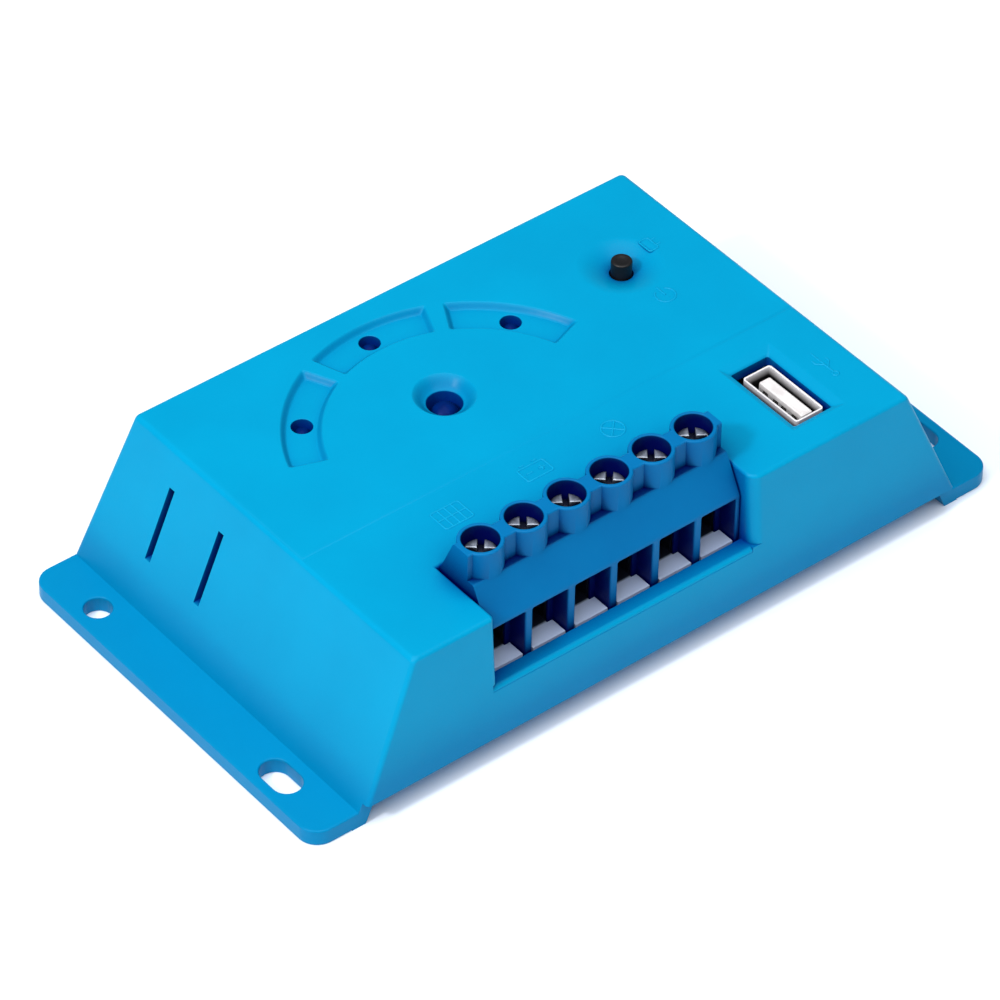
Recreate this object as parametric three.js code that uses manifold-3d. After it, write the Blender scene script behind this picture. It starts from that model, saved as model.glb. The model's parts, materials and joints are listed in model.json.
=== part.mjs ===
// A small solar charge controller: a moulded housing with two fixing flanges, a base cover, and a circuit
// board that carries a six-way rising-clamp terminal block, a vertical USB-A socket, a push button and
// four indicator LEDs. Millimetres. X runs from flange to flange, -Y is the wiring side, +Z is up, and
// the origin is under the middle of the housing, on the surface that it is fixed to.
import * as THREE from 'three';
import { mergeVertices } from 'three/addons/utils/BufferGeometryUtils.js';
import Module from 'manifold-3d';

// ---------------------------------------------------------------- driving dimensions

// Housing
const ROOF_Z = 28;
const WALL = 2.4;
const TOP_HALF_X = 49;
const END_SLOPE = 0.43; // outward run of an end face for each millimetre down
const TOP_FRONT_Y = -35.6;
const TOP_BACK_Y = 35;
const SKIRT_HALF_Y = 37.3; // at the lower edge of the long walls
const SKIRT_Z = 4.6; // the long walls stop this far above the mounting surface

// Flanges
const FLANGE_HALF_X = 68.5;
const FLANGE_T = 3;
const FLANGE_FRONT_Y = -36;
const FLANGE_CORNER_R = 3.5;
const HOLE_X = 64.2;
const ROUND_HOLE_Y = 25;
const ROUND_HOLE_D = 4.6;
const SLOT_Y = -22.4;
const SLOT_W = 5;
const SLOT_L = 8;

// Cooling slits in the end faces
const SLIT_Y = [22.2, 9.5];
const SLIT_W = 1.3;
const SLIT_Z = [10.6, 22.6];

// Gauge: three sunken arcs with an LED hole in each, and a countersunk hole for the charging lamp
const GAUGE = { x: -9, y: 0, rimIn: 24, rimOut: 30.3, depth: 1, run: 0.7 };
const GAUGE_ARCS = [[115.5, 160], [67.5, 110], [20, 61.5]]; // degrees from +X
const LED_ANGLES = [139.2, 90, 40];
const LED_RADIUS = 27.1;
const LED_HOLE_D = 3.5;
const LED = { r: 1.5, collarZ: 21.2 };
const LAMP = { x: -8, y: 9.2, rimD: 9.6, holeD: 5.8, depth: 1.8, ledR: 2.5, collarZ: 17.4 };

// Push button in its dished finger recess
const BUTTON = { x: 33.85, y: 16.65, rimR: 6.8, depth: 1.8, holeD: 4.7, stemD: 3.5, topZ: 29.1 };
const BUTTON_TRAVEL = 0.3;

// USB-A socket, standing upright
const USB = { x: 34.7, y: -22.2, w: 5.72, l: 13.14, mouthZ: 27.1, skin: 0.35 };
const USB_APERTURE = { x: 34.5, y: -21.9, w: 7.7, l: 15.4, bevel: 1.2, depth: 0.35 };

// Circuit board
const BOARD = { halfX: 44.5, halfY: 32, z0: 8.9, z1: 10.5 };
const STANDOFF = { x: 41, y: 28, r: 3 };

// Base cover and its screws
const BASE = { halfX: 57.2, halfY: 33.2, t: 2, rimY: 34.3, rimT: 1.3, rimTopZ: 8.2, rimHalfX: 53.6 };
const BOSS = { x: 49.5, y: 28.5, r: 3.5, padR: 4, padTopZ: 4 };

// Terminal block
const POLES = 6;
const PITCH = 8.35;
const BLOCK_X = -8.3; // middle of the block
const BLOCK_HALF_X = 24.9;
const BLOCK = { z0: 10.6, frontY: -33.3, backY: -21.8, faceTopZ: 23.4, ledgeY: -29.8, ledgeZ: 30, topZ: 35 };
const TOWER = { y: -26.4, r: 3.7, boreR: 3, webFrontY: -28.4, webBackY: -24.9 };
const POCKET = { halfX: 3.42, z0: 12.9, z1: 22.8, backY: -22.2, wellFrontY: -29.25, wellTopZ: 27.9 };
const JAMB = { y: -29.6, halfX: 2.45 }; // wall across each pocket with the wire opening in it
const NOTCH_GAP = 0.4;
const SILL_Z = 14.5;

// Rising clamp: M4, 0.7 mm pitch, the screw turns in place and the cage climbs it
const SCREW = { headR: 2.8, headZ0: 30.5, headZ1: 32.7, shankR: 2, tipZ: 22.5, slotW: 0.9, slotDepth: 1.2 };
const CAGE = { halfX: 3.15, frontY: -28.95, backY: -23.5, side: 0.8, z0: 13.1, floorZ: 14.3, topZ0: 22.8, topZ1: 25 };
const CAGE_HOLE_R = 2.25;
const LIP = { frontY: -33.1, backY: -29.9, neckHalfX: 2.15 };
const BAR = { halfX: 2.1, z0: 21.2, z1: 22.3, frontY: -28.7, legY0: -22.95, legY1: -22.45, legHalfX: 1 };

const FINE = 32;
const ROUND = 16;
const TINY = 10;

// ---------------------------------------------------------------- materials

function material(color, roughness, metalness = 0) {
  return new THREE.MeshStandardMaterial({ color, roughness, metalness });
}

const housingBlue = material(0x15a7dd, 0.5);
const blockBlue = material(0x0a68b4, 0.45);
const boardGreen = material(0x1d5b38, 0.55);
const zinc = material(0xb9bec6, 0.32, 1);
const steel = material(0xd2d4d8, 0.25, 1);
const tin = material(0xc9c6bd, 0.35, 1);
const brass = material(0xc9a75a, 0.3, 1);
const aluminium = material(0xb4b8bc, 0.4, 1);
const black = material(0x1a191b, 0.45);
const white = material(0xe9e6e0, 0.5);
const lensTinted = material(0x202a60, 0.2);
const sleeve = material(0x1c2440, 0.4);

// ---------------------------------------------------------------- solids

const wasm = await Module();
wasm.setup();

/** A closed three.js geometry as a manifold solid. */
function solid(geometry) {
  const bare = geometry.clone();
  bare.deleteAttribute('normal');
  bare.deleteAttribute('uv');
  const merged = mergeVertices(bare, 1e-4);
  const vertProperties = Float32Array.from(merged.attributes.position.array);
  const triVerts = Uint32Array.from(merged.index.array);
  return new wasm.Manifold(new wasm.Mesh({ numProp: 3, vertProperties, triVerts }));
}

/** A manifold solid as a three.js geometry. */
function geometryOf(body) {
  const mesh = body.getMesh();
  const geometry = new THREE.BufferGeometry();
  geometry.setAttribute('position', new THREE.BufferAttribute(mesh.vertProperties, 3));
  geometry.setIndex(new THREE.BufferAttribute(mesh.triVerts, 1));
  geometry.computeVertexNormals();
  return geometry;
}

function join(first, ...others) {
  return others.reduce((sum, next) => sum.add(next), first);
}

function cut(first, ...others) {
  return others.reduce((rest, next) => rest.subtract(next), first);
}

/** Box between two corners. */
function box(x0, x1, y0, y1, z0, z1) {
  const geometry = new THREE.BoxGeometry(x1 - x0, y1 - y0, z1 - z0);
  geometry.translate((x0 + x1) / 2, (y0 + y1) / 2, (z0 + z1) / 2);
  return solid(geometry);
}

/** Box whose four sides change evenly between a lower and an upper rectangle [x0, x1, y0, y1]. */
function taperedBox(lower, upper, z0, z1) {
  const geometry = new THREE.BoxGeometry(1, 1, 1);
  const points = geometry.attributes.position;
  for (let i = 0; i < points.count; i += 1) {
    const rect = points.getZ(i) < 0 ? lower : upper;
    const x = points.getX(i) < 0 ? rect[0] : rect[1];
    const y = points.getY(i) < 0 ? rect[2] : rect[3];
    points.setXYZ(i, x, y, points.getZ(i) < 0 ? z0 : z1);
  }
  return solid(geometry);
}

/** Upright cylinder or cone frustum. */
function post(x, y, z0, z1, r0, r1 = r0, segments = ROUND) {
  const geometry = new THREE.CylinderGeometry(r1, r0, z1 - z0, segments);
  geometry.rotateX(Math.PI / 2);
  geometry.translate(x, y, (z0 + z1) / 2);
  return solid(geometry);
}

/** Upright turned body from [radius, z] points, listed from the bottom of its axis to the top. */
function turned(x, y, profile, segments = ROUND) {
  const geometry = new THREE.LatheGeometry(profile.map(([r, z]) => new THREE.Vector2(r, z)), segments);
  geometry.rotateX(Math.PI / 2);
  geometry.translate(x, y, 0);
  return solid(geometry);
}

function polygon(points) {
  return new THREE.Shape(points.map(([u, v]) => new THREE.Vector2(u, v)));
}

/** Outline in the XY plane raised from z0 to z1. */
function raised(shape, z0, z1) {
  const geometry = new THREE.ExtrudeGeometry(shape, { depth: z1 - z0, bevelEnabled: false, curveSegments: 5 });
  geometry.translate(0, 0, z0);
  return solid(geometry);
}

/** Outline of [y, z] points carried along X from x0 to x1. */
function alongX(points, x0, x1) {
  const geometry = new THREE.ExtrudeGeometry(polygon(points), { depth: x1 - x0, bevelEnabled: false });
  const axes = [new THREE.Vector3(0, 1, 0), new THREE.Vector3(0, 0, 1), new THREE.Vector3(1, 0, 0)];
  geometry.applyMatrix4(new THREE.Matrix4().makeBasis(...axes));
  geometry.translate(x0, 0, 0);
  return solid(geometry);
}

/** Cutter for a sunken panel: floor outline at z - depth, sloping out to the rim at z. */
function sunken(floorShape, z, depth, run) {
  const options = { depth: 2, bevelEnabled: true, bevelSegments: 1, bevelSize: run, bevelThickness: depth };
  const geometry = new THREE.ExtrudeGeometry(floorShape, { ...options, curveSegments: 10 });
  geometry.translate(0, 0, z);
  return solid(geometry);
}

const parts = new THREE.Group();

/** Adds one named piece to the assembly. */
function piece(name, body, finish) {
  const mesh = new THREE.Mesh(geometryOf(body), finish);
  mesh.name = name;
  parts.add(mesh);
}

const signs = [[1, 1], [-1, 1], [-1, -1], [1, -1]];
const toRadians = THREE.MathUtils.degToRad;
const poleX = (i) => BLOCK_X + (i - (POLES - 1) / 2) * PITCH;
const endX = (z) => TOP_HALF_X + (ROOF_Z - z) * END_SLOPE;
const frontY = (z) => TOP_FRONT_Y - ((ROOF_Z - z) * (SKIRT_HALF_Y + TOP_FRONT_Y)) / (ROOF_Z - SKIRT_Z);
const backY = (z) => TOP_BACK_Y + ((ROOF_Z - z) * (SKIRT_HALF_Y - TOP_BACK_Y)) / (ROOF_Z - SKIRT_Z);

// ---------------------------------------------------------------- housing

/** The housing's outside, or its inside when the walls are drawn in by one wall. */
function hull(inset, z0, z1) {
  const end = inset * Math.hypot(1, END_SLOPE);
  const rect = (z) => [-endX(z) + end, endX(z) - end, frontY(z) + inset, backY(z) - inset];
  return taperedBox(rect(z0), rect(z1), z0, z1);
}

/** One end's flange, drawn for +X and mirrored for -X, reaching in under the end face. */
function flange(side) {
  const r = FLANGE_CORNER_R;
  const inner = endX(0) - WALL;
  const shape = new THREE.Shape();
  shape.moveTo(inner, FLANGE_FRONT_Y);
  shape.lineTo(FLANGE_HALF_X - r, FLANGE_FRONT_Y);
  shape.absarc(FLANGE_HALF_X - r, FLANGE_FRONT_Y + r, r, -Math.PI / 2, 0, false);
  shape.lineTo(FLANGE_HALF_X, SKIRT_HALF_Y - r);
  shape.absarc(FLANGE_HALF_X - r, SKIRT_HALF_Y - r, r, 0, Math.PI / 2, false);
  shape.lineTo(inner, SKIRT_HALF_Y);
  const body = raised(shape, 0, FLANGE_T);
  return side > 0 ? body : body.mirror([1, 0, 0]);
}

/** The through holes of one flange: a round hole at the back and a slot along Y at the front. */
function flangeHoles(side) {
  const x = side * HOLE_X;
  const r = SLOT_W / 2;
  const end = SLOT_L / 2 - r;
  const slot = join(
    box(x - r, x + r, SLOT_Y - end, SLOT_Y + end, -1, FLANGE_T + 1),
    post(x, SLOT_Y - end, -1, FLANGE_T + 1, r),
    post(x, SLOT_Y + end, -1, FLANGE_T + 1, r),
  );
  return [slot, post(x, ROUND_HOLE_Y, -1, FLANGE_T + 1, ROUND_HOLE_D / 2)];
}

/** Floor outline of one sunken gauge arc. */
function arcShape([from, to]) {
  const inner = GAUGE.rimIn + GAUGE.run;
  const outer = GAUGE.rimOut - GAUGE.run;
  const shape = new THREE.Shape();
  const trim = (r) => GAUGE.run / r;
  shape.absarc(GAUGE.x, GAUGE.y, outer, toRadians(from) + trim(outer), toRadians(to) - trim(outer), false);
  shape.absarc(GAUGE.x, GAUGE.y, inner, toRadians(to) - trim(inner), toRadians(from) + trim(inner), true);
  return shape;
}

/** Hollow of the spherical finger recess around the button. */
function dish() {
  const radius = (BUTTON.rimR ** 2 + BUTTON.depth ** 2) / (2 * BUTTON.depth);
  const centreZ = ROOF_Z - BUTTON.depth + radius;
  const steps = 5;
  const profile = [[0, ROOF_Z - BUTTON.depth]];
  for (let i = 1; i <= steps; i += 1) {
    const r = (BUTTON.rimR * i) / steps;
    profile.push([r, centreZ - Math.sqrt(radius ** 2 - r ** 2)]);
  }
  profile.push([BUTTON.rimR, ROOF_Z + 1], [0, ROOF_Z + 1]);
  return turned(BUTTON.x, BUTTON.y, profile, FINE);
}

function rectShape(x, y, w, l) {
  return polygon([[x - w / 2, y - l / 2], [x + w / 2, y - l / 2], [x + w / 2, y + l / 2], [x - w / 2, y + l / 2]]);
}

/** Cut-out in the roof and front wall that the terminal block stands in. */
function blockNotch() {
  const x0 = BLOCK_X - BLOCK_HALF_X - NOTCH_GAP;
  const x1 = BLOCK_X + BLOCK_HALF_X + NOTCH_GAP;
  return box(x0, x1, TOP_FRONT_Y - 5, BLOCK.backY + NOTCH_GAP, SILL_Z, ROOF_Z + 1);
}

/** Sill and side returns that line the cut-out between the front wall and the block. */
function notchLining() {
  const x0 = BLOCK_X - BLOCK_HALF_X - NOTCH_GAP;
  const x1 = BLOCK_X + BLOCK_HALF_X + NOTCH_GAP;
  const front = TOP_FRONT_Y - 5;
  const back = BLOCK.frontY - NOTCH_GAP;
  return join(
    box(x0 - 2, x1 + 2, front, back, SILL_Z - 2, SILL_Z),
    box(x0 - 2, x0, front, -30, SILL_Z - 2, ROOF_Z),
    box(x1, x1 + 2, front, -30, SILL_Z - 2, ROOF_Z),
  );
}

function makeHousing() {
  const outside = hull(0, 0, ROOF_Z);
  const inside = hull(WALL, -1, ROOF_Z - WALL);
  const innerEnd = (z) => endX(z) - WALL * Math.hypot(1, END_SLOPE);
  const underWalls = taperedBox(
    [-innerEnd(-1), innerEnd(-1), -50, 50],
    [-innerEnd(SKIRT_Z), innerEnd(SKIRT_Z), -50, 50],
    -1,
    SKIRT_Z,
  );
  const shell = cut(
    join(outside, flange(1), flange(-1)),
    inside,
    underWalls,
    box(-80, 80, -50, FLANGE_FRONT_Y, -1, SKIRT_Z),
    box(-80, 80, SKIRT_HALF_Y, 50, -1, SKIRT_Z),
  );
  const bosses = signs.map(([sx, sy]) => post(sx * BOSS.x, sy * BOSS.y, BOSS.padTopZ + 0.3, ROOF_Z - 1, BOSS.r));
  const collar = post(BUTTON.x, BUTTON.y, ROOF_Z - WALL - 2.5, ROOF_Z - 1, 4.6);
  const inner = join(...bosses, collar, notchLining()).intersect(outside);

  const slits = [];
  for (const side of [-1, 1]) {
    for (const y of SLIT_Y) {
      const x = side * endX((SLIT_Z[0] + SLIT_Z[1]) / 2);
      slits.push(box(x - 8, x + 8, y - SLIT_W / 2, y + SLIT_W / 2, ...SLIT_Z));
    }
  }
  const ledHoles = LED_ANGLES.map((angle) => {
    const x = GAUGE.x + LED_RADIUS * Math.cos(toRadians(angle));
    const y = GAUGE.y + LED_RADIUS * Math.sin(toRadians(angle));
    return post(x, y, ROOF_Z - WALL - 1, ROOF_Z + 1, LED_HOLE_D / 2);
  });
  const arcs = GAUGE_ARCS.map((span) => sunken(arcShape(span), ROOF_Z, GAUGE.depth, GAUGE.run));
  const lampCone = turned(LAMP.x, LAMP.y, [
    [0, ROOF_Z - LAMP.depth],
    [LAMP.holeD / 2, ROOF_Z - LAMP.depth],
    [LAMP.rimD / 2, ROOF_Z],
    [LAMP.rimD / 2, ROOF_Z + 1],
    [0, ROOF_Z + 1],
  ], FINE);
  const lampHole = post(LAMP.x, LAMP.y, ROOF_Z - WALL - 1, ROOF_Z, LAMP.holeD / 2);
  const buttonHole = post(BUTTON.x, BUTTON.y, ROOF_Z - WALL - 3, ROOF_Z, BUTTON.holeD / 2);
  const socketHole = rectShape(USB_APERTURE.x, USB_APERTURE.y, USB_APERTURE.w, USB_APERTURE.l);
  const usbBevel = sunken(socketHole, ROOF_Z, USB_APERTURE.depth, USB_APERTURE.bevel);
  const usbHole = raised(socketHole, ROOF_Z - WALL - 1, ROOF_Z);
  const pilots = signs.map(([sx, sy]) => post(sx * BOSS.x, sy * BOSS.y, 0, 14, 1.6));
  return cut(
    join(shell, inner),
    blockNotch(),
    ...slits,
    ...ledHoles,
    ...arcs,
    lampCone,
    lampHole,
    dish(),
    buttonHole,
    usbBevel,
    usbHole,
    ...pilots,
    ...flangeHoles(1),
    ...flangeHoles(-1),
  );
}

// ---------------------------------------------------------------- base cover and screws

function makeBaseCover() {
  const rim = (side) => {
    const outline = [
      [BASE.halfY - 1.2, 0],
      [BASE.halfY, 0],
      [BASE.halfY, BASE.t],
      [BASE.rimY, BASE.t + 1.1],
      [BASE.rimY, BASE.rimTopZ],
      [BASE.rimY - BASE.rimT, BASE.rimTopZ],
      [BASE.rimY - BASE.rimT, BASE.t + 1.8],
      [BASE.halfY - 1.2, BASE.t],
    ];
    const body = alongX(outline, -BASE.rimHalfX, BASE.rimHalfX);
    return side > 0 ? body : body.mirror([0, 1, 0]);
  };
  const pads = signs.map(([sx, sy]) => post(sx * BOSS.x, sy * BOSS.y, 0, BOSS.padTopZ, BOSS.padR));
  const standoffs = signs.map(([sx, sy]) => {
    return post(sx * STANDOFF.x, sy * STANDOFF.y, 0, BOARD.z0 - 0.1, STANDOFF.r);
  });
  const holes = signs.flatMap(([sx, sy]) => [
    post(sx * BOSS.x, sy * BOSS.y, -1, 2.2, 3.1),
    post(sx * BOSS.x, sy * BOSS.y, -1, 5, 1.75),
    post(sx * STANDOFF.x, sy * STANDOFF.y, 3, BOARD.z0, 1.3),
  ]);
  const plate = box(-BASE.halfX, BASE.halfX, -BASE.halfY, BASE.halfY, 0, BASE.t);
  return cut(join(plate, rim(1), rim(-1), ...pads, ...standoffs), ...holes);
}

/** Two crossed slots for a screwdriver, sunk into the face at z. direction is +1 for a face that looks up. */
function crossSlots(x, y, z, direction, reach, width, depth) {
  const z0 = direction > 0 ? z - depth : z - 1;
  const z1 = direction > 0 ? z + 1 : z + depth;
  return join(
    box(x - reach, x + reach, y - width / 2, y + width / 2, z0, z1),
    box(x - width / 2, x + width / 2, y - reach, y + reach, z0, z1),
  );
}

/** Self-tapping screw that comes up through the base cover into a housing boss. */
function baseScrew(x, y) {
  const profile = [[0, 0.3], [2.4, 0.3], [2.8, 0.7], [2.8, 2], [1.5, 2], [1.5, 11.4], [0, 13]];
  return cut(turned(x, y, profile), crossSlots(x, y, 0.3, -1, 1.5, 0.7, 1));
}

/** Pan-head screw that holds the circuit board on a base stand-off. */
function boardScrew(x, y) {
  const z = BOARD.z1 + 0.1;
  const profile = [[0, 4.4], [1.2, 4.4], [1.2, z], [2.6, z], [2.6, z + 1], [1.9, z + 1.7], [0, z + 1.7]];
  return cut(turned(x, y, profile), crossSlots(x, y, z + 1.7, 1, 1.4, 0.7, 0.9));
}

// ---------------------------------------------------------------- circuit board

function makeBoard() {
  const holes = signs.map(([sx, sy]) => post(sx * STANDOFF.x, sy * STANDOFF.y, 0, 20, 1.6));
  return cut(box(-BOARD.halfX, BOARD.halfX, -BOARD.halfY, BOARD.halfY, BOARD.z0, BOARD.z1), ...holes);
}

/** Power transistor standing against the heat spreader, its tab towards +Y. */
function powerDevice(x, y) {
  const z = BOARD.z1 + 0.1;
  return join(
    box(x - 5, x + 5, y - 3.2, y, z + 3, z + 11),
    box(x - 5, x + 5, y - 0.01, y + 1.2, z + 2.4, z + 12.4),
    ...[-2.5, 0, 2.5].map((dx) => box(x + dx - 0.45, x + dx + 0.45, y - 2.2, y - 1.4, z, z + 3.1)),
  );
}

/** Electrolytic capacitor with a rolled groove near its foot. */
function capacitor(x, y, r, h) {
  const z = BOARD.z1 + 0.1;
  const profile = [
    [0, z], [r - 0.5, z], [r, z + 0.5], [r, z + 1.2], [r - 0.35, z + 1.5], [r, z + 1.8],
    [r, z + h - 0.5], [r - 0.5, z + h], [0, z + h],
  ];
  return turned(x, y, profile);
}

/** Drum-core inductor. */
function inductor(x, y) {
  const z = BOARD.z1 + 0.1;
  const profile = [[0, z], [5.2, z], [5.2, z + 1], [4.4, z + 1.2], [4.4, z + 6], [5.2, z + 6.2], [5.2, z + 7], [0, z + 7]];
  return turned(x, y, profile);
}

/** Flat chip with gull-wing leads on its two long sides. */
function chip(x, y, w, l) {
  const z = BOARD.z1 + 0.1;
  const leads = [];
  const pins = 8;
  for (let i = 0; i < pins; i += 1) {
    const px = x + (i - (pins - 1) / 2) * 1.27;
    leads.push(box(px - 0.22, px + 0.22, y - l / 2 - 1.2, y + l / 2 + 1.2, z, z + 0.6));
  }
  return join(box(x - w / 2, x + w / 2, y - l / 2, y + l / 2, z + 0.3, z + 2.2), ...leads);
}

/** Round-topped LED with its collar and two legs, standing in a spacer. */
function led(x, y, r, collarZ) {
  const dome = 3;
  const height = r * 2.4;
  const profile = [[0, collarZ], [r + 0.4, collarZ], [r + 0.4, collarZ + 1], [r, collarZ + 1]];
  for (let i = 0; i < dome; i += 1) {
    const a = (i / dome) * (Math.PI / 2);
    profile.push([r * Math.cos(a), collarZ + height + r * Math.sin(a)]);
  }
  profile.push([0, collarZ + height + r]);
  const legs = [-1, 1].map((s) => {
    return box(x + s * 0.7 - 0.25, x + s * 0.7 + 0.25, y - 0.25, y + 0.25, BOARD.z1 + 0.1, collarZ + 0.5);
  });
  return join(turned(x, y, profile, TINY), ...legs);
}

function ledSpacer(x, y, r, collarZ) {
  const z = BOARD.z1 + 0.1;
  return cut(post(x, y, z, collarZ - 0.1, r + 0.5, r + 0.5, TINY), post(x, y, z - 1, collarZ + 1, 1.3, 1.3, TINY));
}

// ---------------------------------------------------------------- push button

const SWITCH_TOP_Z = BOARD.z1 + 3.9;

function makeSwitchBody() {
  const { x, y } = BUTTON;
  const z = BOARD.z1 + 0.1;
  const legs = signs.map(([sx, sy]) => {
    const px = x + sx * 3.3;
    const py = y + sy * 2.2;
    return box(px - 0.45, px + 0.45, py - 0.35, py + 0.35, z, z + 1.6);
  });
  const well = post(x, y, z + 1, z + 4, 2.4);
  return cut(join(box(x - 3, x + 3, y - 3, y + 3, z, z + 3.2), ...legs), well);
}

function makeSwitchFrame() {
  const { x, y } = BUTTON;
  const z = BOARD.z1 + 3.4;
  return cut(box(x - 3, x + 3, y - 3, y + 3, z, z + 0.4), post(x, y, z - 1, z + 1, 1.95));
}

/** Snap dome under the stem, which gives the click and pushes the button back. */
function makeSwitchDome() {
  const z = BOARD.z1 + 1.2;
  return turned(BUTTON.x, BUTTON.y, [[0, z + 0.25], [1.1, z + 0.18], [2.1, z], [2.1, z + 0.15], [1.1, z + 0.4], [0, z + 0.5]]);
}

function makeLoadButton() {
  const z = BOARD.z1 + 2.1;
  const r = BUTTON.stemD / 2;
  return turned(BUTTON.x, BUTTON.y, [
    [0, z], [2.15, z], [2.15, z + 0.9], [r, z + 0.9], [r, BUTTON.topZ - 0.25], [r - 0.25, BUTTON.topZ], [0, BUTTON.topZ],
  ]);
}

// ---------------------------------------------------------------- USB socket

function makeUsbShell() {
  const { x, y, w, l, mouthZ, skin } = USB;
  const z0 = BOARD.z1 + 0.1;
  const shell = cut(
    box(x - w / 2, x + w / 2, y - l / 2, y + l / 2, z0, mouthZ),
    box(x - w / 2 + skin, x + w / 2 - skin, y - l / 2 + skin, y + l / 2 - skin, z0 - 1, mouthZ + 1),
  );
  // Each long side has two sprung tongues, left standing inside U-shaped slots.
  const slots = [];
  for (const side of [-1, 1]) {
    for (const dy of [-3, 3]) {
      const px = x + side * (w / 2 - skin / 2);
      const py = y + dy;
      slots.push(
        box(px - 1, px + 1, py - 1.4, py - 1.1, mouthZ - 8, mouthZ - 2),
        box(px - 1, px + 1, py + 1.1, py + 1.4, mouthZ - 8, mouthZ - 2),
        box(px - 1, px + 1, py - 1.4, py + 1.4, mouthZ - 2.3, mouthZ - 2),
      );
    }
  }
  return cut(shell, ...slots);
}

const TONGUE = { x0: USB.x - 0.6, x1: USB.x + 1.24, halfY: 5.2, z1: 26.2, baseZ: 17.5 };

function makeUsbTongue() {
  const { x, y, w, l, skin } = USB;
  const gap = 0.12;
  const halfX = w / 2 - skin - gap;
  const halfY = l / 2 - skin - gap;
  const base = box(x - halfX, x + halfX, y - halfY, y + halfY, BOARD.z1 + 0.1, TONGUE.baseZ);
  const blade = box(TONGUE.x0, TONGUE.x1, y - TONGUE.halfY, y + TONGUE.halfY, BOARD.z1 + 1, TONGUE.z1);
  const channels = [-3.5, -1, 1, 3.5].map((dy) => {
    return box(TONGUE.x0 - 0.3, TONGUE.x0 + 0.25, y + dy - 0.6, y + dy + 0.6, BOARD.z1 + 0.5, TONGUE.z1 - 1);
  });
  return cut(join(base, blade), ...channels);
}

function usbContact(dy) {
  const y = USB.y + dy;
  return box(TONGUE.x0 - 0.12, TONGUE.x0 + 0.15, y - 0.5, y + 0.5, BOARD.z1 + 0.6, TONGUE.z1 - 1.2);
}

// ---------------------------------------------------------------- terminal block

function makeTerminalBlock() {
  const outline = [
    [BLOCK.frontY, BLOCK.z0],
    [BLOCK.backY, BLOCK.z0],
    [BLOCK.backY, ROOF_Z],
    [TOWER.webBackY, BLOCK.topZ],
    [TOWER.webFrontY, BLOCK.topZ],
    [TOWER.webFrontY, BLOCK.ledgeZ],
    [BLOCK.ledgeY, BLOCK.ledgeZ],
    [BLOCK.frontY, BLOCK.faceTopZ],
  ];
  const body = alongX(outline, BLOCK_X - BLOCK_HALF_X, BLOCK_X + BLOCK_HALF_X);
  const towers = [];
  const hollows = [];
  for (let i = 0; i < POLES; i += 1) {
    const x = poleX(i);
    const { halfX, z0, z1, backY: back, wellFrontY, wellTopZ } = POCKET;
    const opening = JAMB.halfX;
    towers.push(post(x, TOWER.y, BLOCK.ledgeZ - 1, BLOCK.topZ, TOWER.r, TOWER.r, FINE));
    hollows.push(
      box(x - halfX, x + halfX, BLOCK.frontY - 1, JAMB.y, z0, z1),
      box(x - opening, x + opening, JAMB.y - 1, wellFrontY + 1, z0, z1),
      box(x - halfX, x + halfX, wellFrontY, back, z0, wellTopZ),
      post(x, TOWER.y, wellTopZ - 1, SCREW.headZ0, SCREW.shankR + 0.25),
      post(x, TOWER.y, SCREW.headZ0 - 0.3, BLOCK.topZ + 1, TOWER.boreR, TOWER.boreR, FINE),
      box(x - BAR.legHalfX - 0.2, x + BAR.legHalfX + 0.2, BAR.legY0 - 0.2, back, BLOCK.z0 - 1, z0 + 1),
    );
  }
  return cut(join(body, ...towers), ...hollows);
}

/** Captive clamp screw, turning about its own axis. */
function clampScrew(x) {
  const { headR, headZ0, headZ1, shankR, tipZ, slotW, slotDepth } = SCREW;
  const profile = [
    [0, tipZ], [shankR - 0.4, tipZ], [shankR, tipZ + 0.4], [shankR, headZ0],
    [headR, headZ0], [headR, headZ1 - 0.4], [headR - 0.4, headZ1], [0, headZ1],
  ];
  return cut(turned(x, TOWER.y, profile), crossSlots(x, TOWER.y, headZ1, 1, headR + 0.5, slotW, slotDepth));
}

/** Rising cage: a square loop that climbs the screw and lifts the wire against the contact bar. */
function clampCage(x) {
  const { halfX, frontY: front, backY: back, side, z0, floorZ, topZ0, topZ1 } = CAGE;
  const loop = cut(
    box(x - halfX, x + halfX, front, back, z0, topZ1),
    box(x - halfX + side, x + halfX - side, front - 1, back + 1, floorZ, topZ0),
    post(x, TOWER.y, topZ0 - 1, topZ1 + 1, CAGE_HOLE_R),
  );
  const neck = box(x - LIP.neckHalfX, x + LIP.neckHalfX, LIP.backY - 0.5, front + 0.5, z0, floorZ);
  const lip = box(x - halfX, x + halfX, LIP.frontY, LIP.backY, z0, floorZ);
  return join(loop, neck, lip);
}

/** Fixed contact: a bar through the cage and a leg down to the board. */
function contactBar(x) {
  const { halfX, z0, z1, frontY: front, legY0, legY1, legHalfX } = BAR;
  return join(
    box(x - halfX, x + halfX, front, legY1, z0, z1),
    box(x - legHalfX, x + legHalfX, legY0, legY1, BOARD.z1 + 0.1, z0 + 0.5),
  );
}

// ---------------------------------------------------------------- assembly

piece('top_housing', makeHousing(), housingBlue);
piece('base_cover', makeBaseCover(), housingBlue);
piece('circuit_board', makeBoard(), boardGreen);
signs.forEach(([sx, sy], i) => {
  piece(`base_screw_${i + 1}`, baseScrew(sx * BOSS.x, sy * BOSS.y), zinc);
  piece(`board_screw_${i + 1}`, boardScrew(sx * STANDOFF.x, sy * STANDOFF.y), zinc);
});

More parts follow.
